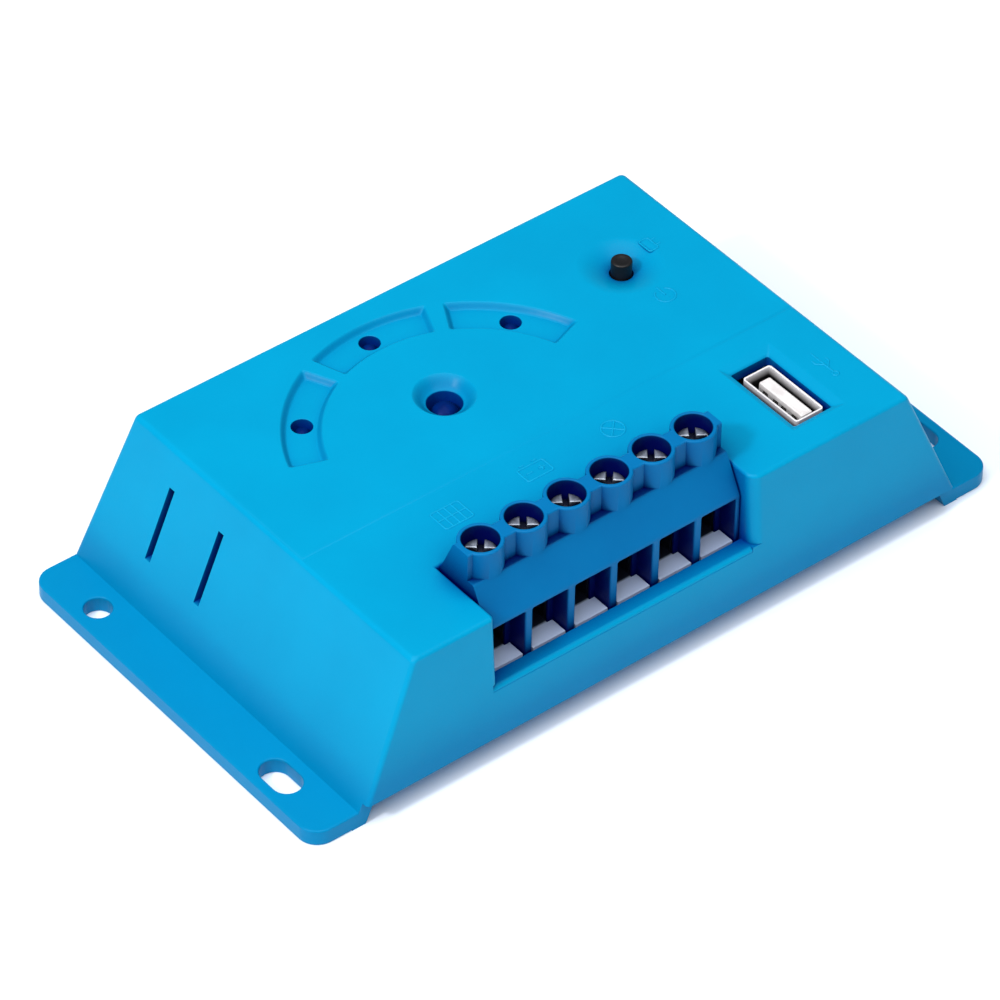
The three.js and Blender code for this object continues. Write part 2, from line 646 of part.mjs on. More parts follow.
piece('terminal_block', makeTerminalBlock(), blockBlue);
for (let i = 0; i < POLES; i += 1) {
  piece(`clamp_screw_${i + 1}`, clampScrew(poleX(i)), zinc);
  piece(`clamp_cage_${i + 1}`, clampCage(poleX(i)), steel);
  piece(`contact_bar_${i + 1}`, contactBar(poleX(i)), tin);
}

piece('usb_shell', makeUsbShell(), steel);
piece('usb_tongue', makeUsbTongue(), white);
[-3.5, -1, 1, 3.5].forEach((dy, i) => piece(`usb_contact_${i + 1}`, usbContact(dy), brass));

piece('switch_body', makeSwitchBody(), black);
piece('switch_dome', makeSwitchDome(), steel);
piece('switch_frame', makeSwitchFrame(), steel);
piece('load_button', makeLoadButton(), black);

LED_ANGLES.forEach((angle, i) => {
  const x = GAUGE.x + LED_RADIUS * Math.cos(toRadians(angle));
  const y = GAUGE.y + LED_RADIUS * Math.sin(toRadians(angle));
  piece(`status_led_${i + 1}`, led(x, y, LED.r, LED.collarZ), lensTinted);
  piece(`led_spacer_${i + 1}`, ledSpacer(x, y, LED.r, LED.collarZ), black);
});
piece('charge_led', led(LAMP.x, LAMP.y, LAMP.ledR, LAMP.collarZ), lensTinted);
piece('charge_led_spacer', ledSpacer(LAMP.x, LAMP.y, LAMP.ledR, LAMP.collarZ), black);

const SPREADER_Y = -6;
[-24, -9, 6].forEach((x, i) => piece(`power_transistor_${i + 1}`, powerDevice(x, SPREADER_Y - 1.5), black));
piece('heat_spreader', box(-32, 14, SPREADER_Y, SPREADER_Y + 2.5, BOARD.z1 + 0.1, BOARD.z1 + 13), aluminium);
piece('input_capacitor', capacitor(-38, 6, 5, 12), sleeve);
piece('output_capacitor', capacitor(24, -3, 4, 11), sleeve);
piece('buck_inductor', inductor(22, 9), black);
piece('controller_chip', chip(20, 25, 11, 7.6), black);

export default parts;
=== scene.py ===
"""Looks for a small solar charge controller: moulded housing, terminal block, USB socket, button and lamps.

Shapes are written in millimetres in the row's frame and become metres in add_mesh. X runs from flange to
flange, -Y is the wiring side and +Z is up.
"""

import json
import math

import bmesh
import bpy
from mathutils import Matrix, Vector


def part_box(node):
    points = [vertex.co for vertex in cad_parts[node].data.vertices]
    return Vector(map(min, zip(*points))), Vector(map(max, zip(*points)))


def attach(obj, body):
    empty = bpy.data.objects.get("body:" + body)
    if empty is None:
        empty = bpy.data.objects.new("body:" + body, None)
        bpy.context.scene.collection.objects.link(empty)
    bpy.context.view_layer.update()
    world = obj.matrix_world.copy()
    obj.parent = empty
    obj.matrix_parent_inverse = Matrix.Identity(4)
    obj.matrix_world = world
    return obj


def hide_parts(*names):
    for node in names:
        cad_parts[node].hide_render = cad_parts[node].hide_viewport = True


MM = 0.001

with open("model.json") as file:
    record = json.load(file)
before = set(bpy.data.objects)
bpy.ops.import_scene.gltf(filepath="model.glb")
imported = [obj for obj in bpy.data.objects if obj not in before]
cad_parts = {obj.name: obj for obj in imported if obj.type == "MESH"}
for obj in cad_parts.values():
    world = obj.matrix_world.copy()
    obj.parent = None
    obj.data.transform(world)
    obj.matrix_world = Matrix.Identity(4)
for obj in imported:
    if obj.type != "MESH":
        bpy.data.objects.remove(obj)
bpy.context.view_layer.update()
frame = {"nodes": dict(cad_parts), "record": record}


def box_mm(node):
    """Lowest and highest corner of a CAD node, in millimetres."""
    low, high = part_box(node)
    return low / MM, high / MM


def centre_mm(node):
    low, high = box_mm(node)
    return (low + high) / 2


# ---------------------------------------------------------------- dimensions

HOUSING_LOW, HOUSING_HIGH = box_mm("top_housing")
ROOF_Z = HOUSING_HIGH.z
FLANGE_X = HOUSING_HIGH.x
BACK_Y = HOUSING_HIGH.y

WALL = 2.4
TOP_HALF_X = 49
END_SLOPE = 0.43
TOP_FRONT_Y = -35.6
TOP_BACK_Y = 35
SKIRT_Z = 4.6
FLANGE_T = 3
FLANGE_FRONT_Y = -36
FLANGE_CORNER_R = 3.5
EDGE_R = 0.7
SMALL_R = 0.3

HOLE_X = 64.2
ROUND_HOLE_Y = 25
ROUND_HOLE_R = 2.3
SLOT_Y = -22.4
SLOT_R = 2.5
SLOT_HALF_L = 4

SLIT_Y = (22.2, 9.5)
SLIT_HALF_W = 0.65
SLIT_Z = (10.6, 22.6)
CREASE_Y = -7.7

GAUGE = Vector((-9, 0))
GAUGE_RIM = (24, 30.3)
GAUGE_ARCS = ((115.5, 160), (67.5, 110), (20, 61.5))
GAUGE_DEPTH = 1.0
LED_HOLE_R = 1.75
LAMP_RIM_R = 4.8
LAMP_HOLE_R = 2.9
LAMP_DEPTH = 1.8

BUTTON = centre_mm("load_button")
BUTTON_TOP = box_mm("load_button")[1].z
DISH_R = 6.8
DISH_DEPTH = 1.8
BUTTON_HOLE_R = 2.0
BUTTON_SHAFT_R = 2.35
STEM_R = 1.75

USB_LOW, USB_HIGH = box_mm("usb_shell")
USB_APERTURE = (30.65, 38.35, -29.6, -14.2)
USB_BEVEL = 1.2
USB_BEVEL_FAR = 1.6
TONGUE_LOW, TONGUE_HIGH = box_mm("usb_tongue")
INSERT_BASE_Z = 17.5
SHELL_SKIN = 0.35

POLES = range(1, 7)
BLOCK_LOW, BLOCK_HIGH = box_mm("terminal_block")
TOWER_Y = centre_mm("clamp_screw_1").y
TOWER_R = 3.7
BORE_R = 3.0
HEAD_R = 2.8
HEAD_TOP_Z = box_mm("clamp_screw_1")[1].z
HEAD_T = 2.2
THREAD_R = 2.0
THREAD_ROOT_R = 1.78
THREAD_PITCH = 0.7
RECESS_HALF_W = 0.55
RECESS_DEPTH = 1.5
SHAFT_HOLE_R = 2.25
SCREW_TIP_Z = box_mm("clamp_screw_1")[0].z
BLOCK_FACE_TOP_Z = 23.4
LEDGE_Y = -29.8
LEDGE_Z = 30
WEB_FRONT_Y = -28.4
WEB_BACK_Y = -24.9
POCKET_HALF_X = 3.42
POCKET_Z = (12.9, 22.8)
WELL_TOP_Z = 27.9
WELL_FRONT_Y = -29.25
JAMB_Y = -29.6
JAMB_HALF_X = 2.45
LIP_BACK_Y = -29.9
NOTCH_GAP = 0.4
SILL_Z = 14.5
BLOCK_EDGE = 0.35
CAD_BEVEL = 0.12

BOSS_XY = (49.5, 28.5)
BOSS_R = 3.5
BOSS_Z = (4.3, 27)
PILOT_R = 1.6
PILOT_TOP_Z = 14
COLLAR_R = 4.6
COLLAR_Z = (23, 27)
TUBE_WALL = 0.9


def end_x(z):
    return TOP_HALF_X + (ROOF_Z - z) * END_SLOPE


def front_y(z):
    return TOP_FRONT_Y - (ROOF_Z - z) * (BACK_Y + TOP_FRONT_Y) / (ROOF_Z - SKIRT_Z)


def back_y(z):
    return TOP_BACK_Y + (ROOF_Z - z) * (BACK_Y - TOP_BACK_Y) / (ROOF_Z - SKIRT_Z)


# ---------------------------------------------------------------- mesh helpers


def add_mesh(name, verts, faces):
    """A new object from points in millimetres, with its faces turned outwards."""
    mesh = bpy.data.meshes.new(name)
    mesh.from_pydata([Vector(v) * MM for v in verts], [], faces)
    work = bmesh.new()
    work.from_mesh(mesh)
    bmesh.ops.recalc_face_normals(work, faces=work.faces)
    work.to_mesh(mesh)
    work.free()
    obj = bpy.data.objects.new(name, mesh)
    bpy.context.scene.collection.objects.link(obj)
    return obj


def loft(name, rings):
    """Closed skin over a stack of rings with the same number of points, with both ends capped."""
    n = len(rings[0])
    verts = [point for ring in rings for point in ring]
    faces = [tuple(reversed(range(n))), tuple(range(len(verts) - n, len(verts)))]
    for k in range(len(rings) - 1):
        for i in range(n):
            j = (i + 1) % n
            faces.append((k * n + i, k * n + j, (k + 1) * n + j, (k + 1) * n + i))
    return add_mesh(name, verts, faces)


def lathe(name, x, y, profile, segments=64):
    """Upright turned body from (radius, z) points, whose first and last points lie on the axis."""
    inner = profile[1:-1]
    verts = [(x, y, profile[0][1])]
    for r, z in inner:
        for i in range(segments):
            a = 2 * math.pi * i / segments
            verts.append((x + r * math.cos(a), y + r * math.sin(a), z))
    verts.append((x, y, profile[-1][1]))
    last = len(verts) - 1
    top = 1 + (len(inner) - 1) * segments
    faces = []
    for i in range(segments):
        j = (i + 1) % segments
        faces.append((0, 1 + j, 1 + i))
        faces.append((last, top + i, top + j))
        for k in range(len(inner) - 1):
            a = 1 + k * segments
            faces.append((a + i, a + j, a + segments + j, a + segments + i))
    return add_mesh(name, verts, faces)


def cylinder(name, x, y, r, z0, z1, segments):
    return lathe(name, x, y, [(0, z0), (r, z0), (r, z1), (0, z1)], segments)


def block(name, x0, x1, y0, y1, z0, z1):
    ring = [(x0, y0), (x1, y0), (x1, y1), (x0, y1)]
    return loft(name, [[(x, y, z) for x, y in ring] for z in (z0, z1)])


def along_x(name, outline, x0, x1):
    """(y, z) outline carried along X."""
    return loft(name, [[(x, y, z) for y, z in outline] for x in (x0, x1)])


def rounded_rect(x0, x1, y0, y1, r, steps=6):
    """(x, y) outline, anticlockwise, with round corners."""
    corners = [(x1 - r, y0 + r, -90), (x1 - r, y1 - r, 0), (x0 + r, y1 - r, 90), (x0 + r, y0 + r, 180)]
    points = []
    for cx, cy, start in corners:
        for i in range(steps + 1):
            a = math.radians(start + 90 * i / steps)
            points.append((cx + r * math.cos(a), cy + r * math.sin(a)))
    return points


def grown(outline, amount):
    """Anticlockwise (x, y) outline moved outwards by amount, with mitred corners."""
    points = []
    n = len(outline)
    for i in range(n):
        here = Vector(outline[i])
        before = (here - Vector(outline[i - 1])).normalized()
        after = (Vector(outline[(i + 1) % n]) - here).normalized()
        normal = Vector((before.y + after.y, -before.x - after.x)).normalized()
        shrink = max(normal.dot(Vector((after.y, -after.x))), 0.4)
        points.append(tuple(here + normal * (amount / shrink)))
    return points


def stacked(name, outline, levels):
    """Solid whose outline grows by the given amount at each (z, amount) level, from the bottom up."""
    return loft(name, [[(x, y, z) for x, y in grown(outline, amount)] for z, amount in levels])


def rim_round(z, r, steps=4):
    """(z, amount) levels of a rounded rim: none at z - r, and r at z."""
    quarter = [math.pi / 2 * i / steps for i in range(steps + 1)]
    return [(z - r + r * math.sin(a), r * (1 - math.cos(a))) for a in quarter]


def eased(t):
    """0 to 1 with a level start and end."""
    return t * t * (3 - 2 * t)


def softened(outline, corners, reach, steps=4):
    """Outline with each listed corner swapped for a curve that starts and ends reach away from it."""
    points = []
    for i, here in enumerate(outline):
        if i not in corners:
            points.append(here)
            continue
        tip = Vector(here)
        start = tip + (Vector(outline[i - 1]) - tip).normalized() * reach
        end = tip + (Vector(outline[(i + 1) % len(outline)]) - tip).normalized() * reach
        for k in range(steps + 1):
            t = k / steps
            points.append(tuple(start * (1 - t) ** 2 + tip * 2 * t * (1 - t) + end * t ** 2))
    return points


def bore(name, x, y, r, rim, z0, z1, segments=48):
    """Cutter for a round hole up to a face at z1, with a rounded rim."""
    profile = [(0, z0), (r, z0)] + [(r + grow, z) for z, grow in rim_round(z1, rim)]
    profile += [(r + rim, z1 + 2), (0, z1 + 2)]
    return lathe(name, x, y, profile, segments)


def combine(base, tools, operation):
    """Joins, cuts or intersects base with every tool, applies the result and removes the tools."""
    group = bpy.data.collections.new("tools")
    for tool in tools:
        group.objects.link(tool)
    boolean = base.modifiers.new("combine", "BOOLEAN")
    boolean.operation = operation
    boolean.operand_type = "COLLECTION"
    boolean.collection = group
    boolean.solver = "EXACT"
    bpy.context.view_layer.update()
    result = bpy.data.meshes.new_from_object(base.evaluated_get(bpy.context.evaluated_depsgraph_get()))
    base.modifiers.clear()
    base.data = result
    for tool in tools:
        bpy.data.objects.remove(tool)
    bpy.data.collections.remove(group)
    return base


def smooth(obj, angle=35):
    """Smooth shading with creases where faces meet sharply, and flat faces kept flat."""
    work = bmesh.new()
    work.from_mesh(obj.data)
    bmesh.ops.remove_doubles(work, verts=work.verts, dist=2e-6)
    work.to_mesh(obj.data)
    work.free()
    obj.data.shade_smooth()
    obj.data.set_sharp_from_angle(angle=math.radians(angle))
    normals = obj.modifiers.new("flat faces stay flat", "WEIGHTED_NORMAL")
    normals.keep_sharp = True
    normals.weight = 90
    return obj


def bevel(obj, width):
    """Rounds the sharp edges of a piece."""
    rounding = obj.modifiers.new("rounded edges", "BEVEL")
    rounding.width = width * MM
    rounding.segments = 2
    rounding.limit_method = "ANGLE"
    rounding.angle_limit = math.radians(40)
    rounding.use_clamp_overlap = True
    return obj


# ---------------------------------------------------------------- materials


def linear(srgb):
    return [c / 12.92 if c <= 0.04045 else ((c + 0.055) / 1.055) ** 2.4 for c in srgb]


def new_material(name, srgb, roughness, metallic=0.0, specular=0.5):
    material = bpy.data.materials.new(name)
    material.use_nodes = True
    shader = material.node_tree.nodes["Principled BSDF"]
    shader.inputs["Base Color"].default_value = (*linear(srgb), 1)
    shader.inputs["Roughness"].default_value = roughness
    shader.inputs["Metallic"].default_value = metallic
    shader.inputs["Specular IOR Level"].default_value = specular
    return material, shader


def noise(material, scale, detail=3.0):
    """Noise over the object's own space, with the given number of cells in a metre."""
    nodes, links = material.node_tree.nodes, material.node_tree.links
    place = nodes.new("ShaderNodeTexCoord")
    texture = nodes.new("ShaderNodeTexNoise")
    texture.inputs["Scale"].default_value = scale
    texture.inputs["Detail"].default_value = detail
    links.new(place.outputs["Object"], texture.inputs["Vector"])
    return texture.outputs["Fac"]


def vary_colour(material, shader, dark, light, scale):
    """Mottles the base colour between two sRGB colours."""
    nodes, links = material.node_tree.nodes, material.node_tree.links
    ramp = nodes.new("ShaderNodeValToRGB")
    ramp.color_ramp.elements[0].position = 0.3
    ramp.color_ramp.elements[1].position = 0.7
    ramp.color_ramp.elements[0].color = (*linear(dark), 1)
    ramp.color_ramp.elements[1].color = (*linear(light), 1)
    links.new(noise(material, scale), ramp.inputs["Fac"])
    links.new(ramp.outputs["Color"], shader.inputs["Base Color"])


def paint_crevice_shade(material, shader, reach, dark, depth, skirt=None):
    """Painted shade: turns the base colour towards a darker one where other surfaces stand close, so
    crevices, gaps and recesses carry shade in their colour.

    reach is how far off a surface still counts, in millimetres.
    depth is the openness at which dark is full.
    skirt is the openness that the part of the piece near the floor gets, whatever it stands on, a fixed
    painted shade there.
    """
    nodes, links = material.node_tree.nodes, material.node_tree.links
    # ambient occlusion decides where the painted shade goes
    openness = nodes.new("ShaderNodeAmbientOcclusion")
    openness.inputs["Distance"].default_value = reach * MM
    openness.samples = 8
    spread = nodes.new("ShaderNodeMapRange")
    spread.inputs["From Min"].default_value = depth
    spread.inputs["From Max"].default_value = 0.96
    mix = nodes.new("ShaderNodeMix")
    mix.data_type = "RGBA"
    close_by, in_the_open = (socket for socket in mix.inputs if socket.type == "RGBA")
    close_by.default_value = (*linear(dark), 1)
    colour = shader.inputs["Base Color"]
    source = colour.links[0].from_socket
    links.new(openness.outputs["AO"], spread.inputs["Value"])
    factor = spread.outputs["Result"]
    # painted shade near the floor: below 4 mm it is fixed at skirt, and it blends into the occlusion's own by
    # 9 mm
    if skirt is not None:
        place = nodes.new("ShaderNodeTexCoord")
        axes = nodes.new("ShaderNodeSeparateXYZ")
        height = nodes.new("ShaderNodeMapRange")
        height.inputs["From Min"].default_value = 4 * MM
        height.inputs["From Max"].default_value = 9 * MM
        blend = nodes.new("ShaderNodeMix")
        blend.inputs[2].default_value = skirt
        links.new(place.outputs["Object"], axes.inputs["Vector"])
        links.new(axes.outputs["Z"], height.inputs["Value"])
        links.new(height.outputs["Result"], blend.inputs[0])
        links.new(factor, blend.inputs[3])
        factor = blend.outputs[0]
    links.new(factor, mix.inputs["Factor"])
    links.new(source, in_the_open)
    links.new(next(socket for socket in mix.outputs if socket.type == "RGBA"), colour)


def vary_roughness(material, shader, low, high, scale):
    nodes, links = material.node_tree.nodes, material.node_tree.links
    spread = nodes.new("ShaderNodeMapRange")
    spread.inputs["To Min"].default_value = low
    spread.inputs["To Max"].default_value = high
    links.new(noise(material, scale), spread.inputs["Value"])
    links.new(spread.outputs["Result"], shader.inputs["Roughness"])


def grain(material, shader, scale, height_mm, strength=1.0, detail=2.0):
    """Fine relief from noise."""
    nodes, links = material.node_tree.nodes, material.node_tree.links
    bump = nodes.new("ShaderNodeBump")
    bump.inputs["Strength"].default_value = strength
    bump.inputs["Distance"].default_value = height_mm * MM
    links.new(noise(material, scale, detail), bump.inputs["Height"])
    links.new(bump.outputs["Normal"], shader.inputs["Normal"])


def fade(material, shader, axis, start, end, first, last):
    """Base colour that goes from first to last between two places on an axis, in millimetres."""
    nodes, links = material.node_tree.nodes, material.node_tree.links
    place = nodes.new("ShaderNodeTexCoord")
    axes = nodes.new("ShaderNodeSeparateXYZ")
    spread = nodes.new("ShaderNodeMapRange")
    spread.inputs["From Min"].default_value = start * MM
    spread.inputs["From Max"].default_value = end * MM
    ramp = nodes.new("ShaderNodeValToRGB")
    ramp.color_ramp.elements[0].color = (*linear(first), 1)
    ramp.color_ramp.elements[1].color = (*linear(last), 1)
    links.new(place.outputs["Object"], axes.inputs["Vector"])
    links.new(axes.outputs[axis], spread.inputs["Value"])
    links.new(spread.outputs["Result"], ramp.inputs["Fac"])
    links.new(ramp.outputs["Color"], shader.inputs["Base Color"])


def make_materials():
    made = {}

    material, shader = new_material("housing_plastic", (0.0, 0.56, 0.72), 0.3, specular=0.06)
    vary_colour(material, shader, (0.0, 0.54, 0.71), (0.0, 0.56, 0.73), 60)
    # painted shade: recesses of the housing darken towards deep blue, and its lowest part near the floor
    # keeps a fixed share of that darkening
    paint_crevice_shade(material, shader, 18, (0.0, 0.16, 0.5), 0.32, skirt=0.7)
    vary_roughness(material, shader, 0.26, 0.34, 900)
    grain(material, shader, 2600, 0.02, 0.6)
    made["housing_plastic"] = material

    material, shader = new_material("raised_plastic", (0.0, 0.57, 0.74), 0.4, specular=0.1)
    vary_colour(material, shader, (0.0, 0.56, 0.73), (0.0, 0.58, 0.75), 60)
    made["raised_plastic"] = material

    material, shader = new_material("block_plastic", (0.0, 0.36, 0.58), 0.42, specular=0.07)
    vary_colour(material, shader, (0.0, 0.39, 0.61), (0.0, 0.41, 0.63), 90)
    # painted shade: the block's pockets, bores and the gaps between towers darken towards navy
    paint_crevice_shade(material, shader, 9, (0.0, 0.03, 0.33), 0.42)
    vary_roughness(material, shader, 0.36, 0.46, 700)
    grain(material, shader, 3200, 0.008, 0.5)
    made["block_plastic"] = material

    material, shader = new_material("board_laminate", (0.08, 0.30, 0.16), 0.4)
    vary_colour(material, shader, (0.06, 0.26, 0.14), (0.10, 0.33, 0.18), 700)
    made["board_laminate"] = material

    material, shader = new_material("zinc_steel", (0.72, 0.75, 0.80), 0.3, metallic=0.5)
    vary_colour(material, shader, (0.62, 0.66, 0.72), (0.80, 0.84, 0.90), 1600)
    # painted shade: the steel darkens towards navy in the screw bores and tight corners
    paint_crevice_shade(material, shader, 3, (0.01, 0.03, 0.16), 0.3)
    vary_roughness(material, shader, 0.22, 0.38, 1400)
    grain(material, shader, 3000, 0.01, 0.4)
    made["zinc_steel"] = material

    material, shader = new_material("clamp_steel", (0.74, 0.80, 0.90), 0.34, metallic=0.3)
    # painted shade: the steel turns near black just behind the cage's front lip, standing in for the shade
    # inside the cage, while the lip stays bright
    fade(material, shader, "Y", LIP_BACK_Y, LIP_BACK_Y + 0.5, (0.80, 0.87, 1.0), (0.09, 0.11, 0.17))
    vary_roughness(material, shader, 0.26, 0.42, 1100)
    grain(material, shader, 2200, 0.012, 0.4)
    made["clamp_steel"] = material

    material, shader = new_material("shell_steel", (0.9, 0.9, 0.9), 0.34, metallic=0.3)
    rim = USB_HIGH.z
    # painted shade: the shell is near black low down and bright only at its rim, standing in for the shade
    # inside the socket
    fade(material, shader, "Z", rim - 1.7, rim - 0.15, (0.05, 0.05, 0.06), (0.95, 0.94, 0.95))
    vary_roughness(material, shader, 0.26, 0.42, 1300)
    grain(material, shader, 2600, 0.01, 0.4)
    made["shell_steel"] = material

    material, shader = new_material("tinned_metal", (0.93, 0.92, 0.91), 0.35, metallic=0.45)
    vary_colour(material, shader, (0.88, 0.87, 0.87), (0.96, 0.95, 0.95), 900)
    # painted shade: close corners darken towards black
    paint_crevice_shade(material, shader, 5, (0.03, 0.03, 0.04), 0.45)
    vary_roughness(material, shader, 0.32, 0.5, 1200)
    made["tinned_metal"] = material

    material, shader = new_material("contact_brass", (0.62, 0.60, 0.58), 0.3, metallic=0.5)
    vary_colour(material, shader, (0.58, 0.56, 0.54), (0.66, 0.64, 0.62), 1200)
    # painted shade: close corners darken towards black
    paint_crevice_shade(material, shader, 4, (0.03, 0.03, 0.05), 0.2)
    vary_roughness(material, shader, 0.22, 0.36, 1500)
    made["contact_brass"] = material

    material, shader = new_material("spreader_aluminium", (0.70, 0.72, 0.74), 0.42, metallic=1.0)
    vary_roughness(material, shader, 0.36, 0.5, 600)
    made["spreader_aluminium"] = material

    material, shader = new_material("black_plastic", (0.06, 0.06, 0.07), 0.42, specular=0.3)
    vary_colour(material, shader, (0.05, 0.05, 0.06), (0.08, 0.08, 0.09), 800)
    grain(material, shader, 3000, 0.01, 0.4)
    made["black_plastic"] = material

    material, shader = new_material("white_plastic", (0.84, 0.82, 0.82), 0.45)
    vary_colour(material, shader, (0.80, 0.78, 0.78), (0.87, 0.86, 0.86), 700)
    made["white_plastic"] = material

    material, shader = new_material("lamp_lens", (0.0, 0.10, 0.34), 0.45, specular=0.04)
    vary_colour(material, shader, (0.0, 0.09, 0.32), (0.0, 0.12, 0.38), 700)
    vary_roughness(material, shader, 0.34, 0.46, 900)
    made["lamp_lens"] = material

    material, shader = new_material("capacitor_sleeve", (0.10, 0.12, 0.24), 0.3)
    vary_roughness(material, shader, 0.24, 0.36, 500)
    made["capacitor_sleeve"] = material
    return made


MATERIALS = make_materials()
SLOT_OF = {part["node"]: part["material_slot"] for part in frame["record"]["subparts"]}
BODY_OF = {node: body for body, nodes in frame["record"]["behaviour"]["bodies"].items() for node in nodes}


def finish_piece(obj, node, angle=35, look=None):
    """Gives a piece the finish and body of the CAD node that it stands for, and hides that node."""
    smooth(obj, angle)
    slot = SLOT_OF[node]
    obj.data.materials.clear()
    obj.data.materials.append(MATERIALS[look or slot])
    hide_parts(node)
    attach(obj, BODY_OF[node])
    return obj


# ---------------------------------------------------------------- housing


def hull(name, inset, z0, z1, corner_r, top_r):
    """The housing's outside, or its inside when inset by the wall, with a rounded upper edge."""
    end = inset * math.hypot(1, END_SLOPE)
    levels = [(z0, 0.0)]
    if top_r:
        levels += [(z, top_r - grow) for z, grow in reversed(rim_levels(z1, top_r))]
    else:
        levels.append((z1, 0.0))
    rings = []
    for z, shrink in levels:
        side = end + shrink
        x = end_x(z) - side
        y0 = front_y(z) + inset + shrink
        y1 = back_y(z) - inset - shrink
        rings.append([(px, py, z) for px, py in rounded_rect(-x, x, y0, y1, corner_r)])
    return loft(name, rings)


def rim_levels(z, r, steps=5):
    """(z, amount) pairs down a quarter round: amount 0 at z and r at z - r."""
    quarter = [math.pi / 2 * i / steps for i in range(steps + 1)]
    return [(z - r + r * math.cos(a), r * math.sin(a)) for a in quarter]


def flange(side):
    """Fixing flange, reaching in under the end wall."""
    x0, x1 = sorted((side * 50, side * FLANGE_X))
    outline = rounded_rect(x0, x1, FLANGE_FRONT_Y, BACK_Y, FLANGE_CORNER_R, 8)
    lower = [(z, grow - SMALL_R) for z, grow in ((0, 0.1), (0.1, 0.22), (SMALL_R, SMALL_R))]
    upper = [(z, grow - SMALL_R) for z, grow in reversed(rim_levels(FLANGE_T, SMALL_R))]
    return stacked("flange", outline, lower + upper)


def through_hole(name, outline, z1, rim):
    """Cutter through a plate from below z = 0 to a face at z1, with a rounded upper rim."""
    levels = [(-1, rim), (0, rim * 0.6), (rim, 0)] + rim_round(z1, rim)
    return stacked(name, outline, levels + [(z1 + 1, rim)])


def arc_outline(span, amount):
    """Sunken gauge arc grown by amount from its rim, anticlockwise, with soft corners."""
    start, end = (math.radians(a) for a in span)
    inner, outer = GAUGE_RIM[0] - amount, GAUGE_RIM[1] + amount
    steps = 18
    points = []
    for r, first, last, turn in ((outer, start, end, 1), (inner, end, start, -1)):
        trim = turn * amount / r
        for i in range(steps + 1):
            a = first - trim + (last - first + 2 * trim) * i / steps
            points.append((GAUGE.x + r * math.cos(a), GAUGE.y + r * math.sin(a)))
    return softened(points, (0, steps, steps + 1, 2 * steps + 1), 0.5)


def arc_cutter(span):
    """Soft-edged trough: its sides ease into the roof and into the floor."""
    steps = 10
    levels = []
    for i in range(steps + 1):
        t = i / steps
        levels.append((ROOF_Z - GAUGE_DEPTH + (GAUGE_DEPTH + 0.01) * eased(t), 1.25 * t - 0.95))
    levels.append((ROOF_Z + 1, 0.3))
    return loft("arc", [[(x, y, z) for x, y in arc_outline(span, amount)] for z, amount in levels])


def lamp_cutter(x, y):
    floor = ROOF_Z - LAMP_DEPTH
    profile = [(0, ROOF_Z - WALL - 4), (LAMP_HOLE_R, ROOF_Z - WALL - 4), (LAMP_HOLE_R, floor - 0.15)]
    inner, outer = LAMP_HOLE_R + 0.1, LAMP_RIM_R + 0.45
    steps = 12
    for i in range(steps + 1):
        t = i / steps
        climb = 0.45 * t + 0.55 * eased(t)
        profile.append((inner + (outer - inner) * t, floor + (LAMP_DEPTH + 0.01) * climb))
    return lathe("lamp", x, y, profile + [(outer, ROOF_Z + 1), (0, ROOF_Z + 1)], 72)


def dish_cutter():
    """Bell-shaped finger recess with the button's hole in its floor."""
    floor = ROOF_Z - DISH_DEPTH
    profile = [(0, floor - 5), (BUTTON_SHAFT_R, floor - 5)]
    profile += [(BUTTON_SHAFT_R, floor - 1.1), (BUTTON_HOLE_R, floor - 1)]
    steps = 16
    for i in range(steps + 1):
        r = BUTTON_HOLE_R + (DISH_R + 0.7 - BUTTON_HOLE_R) * i / steps
        drop = DISH_DEPTH * 1.12 * (1 + math.cos(math.pi * r / (DISH_R + 0.7))) / 2
        profile.append((r, ROOF_Z + 0.008 - drop))
    return lathe("dish", BUTTON.x, BUTTON.y, profile + [(DISH_R + 0.7, ROOF_Z + 1), (0, ROOF_Z + 1)], 80)


def usb_cutter():
    """Socket opening, with a bevel that is wider at the back and right."""
    x0, x1, y0, y1 = USB_APERTURE
    rings = []
    levels = [(ROOF_Z - WALL - 2, 0), (ROOF_Z - 0.7, 0), (ROOF_Z - 0.5, 0.1), (ROOF_Z - 0.36, 0.32)]
    levels += [(ROOF_Z - 0.06, USB_BEVEL - 0.12)]
    levels += [(ROOF_Z + 0.01, USB_BEVEL + 0.1), (ROOF_Z + 1, USB_BEVEL + 0.1)]
    for z, a in levels:
        outline = rounded_rect(x0 - a, x1 + a * USB_BEVEL_FAR, y0 - a, y1 + a * USB_BEVEL_FAR, 0.4, 4)
        rings.append([(x, y, z) for x, y in outline])
    return loft("usb", rings)


def notch_outline(z):
    """Cut-out for the terminal block at one height, open to the front.

    Its front corners are round where they meet the front wall.
    """
    x0 = BLOCK_LOW.x - NOTCH_GAP
    x1 = BLOCK_HIGH.x + NOTCH_GAP
    front = front_y(z)
    left_r, right_r = 1.0, 2.0
    quarter = [math.pi / 2 * i / 6 for i in range(7)]
    points = [(x0, BLOCK_HIGH.y + NOTCH_GAP)]
    points += [(x0 - left_r * (1 - math.cos(a)), front + left_r * (1 - math.sin(a))) for a in quarter]
    points += [(x0 - left_r, front - 6), (x1 + right_r, front - 6)]
    quarter.reverse()
    points += [(x1 + right_r * (1 - math.cos(a)), front + right_r * (1 - math.sin(a))) for a in quarter]
    points.append((x1, BLOCK_HIGH.y + NOTCH_GAP))
    return points


def notch_cutter():
    levels = [(SILL_Z, 0)] + rim_round(ROOF_Z, 0.55, 6) + [(ROOF_Z + 1, 0.55)]
    return loft("notch", [[(x, y, z) for x, y in grown(notch_outline(z), amount)] for z, amount in levels])


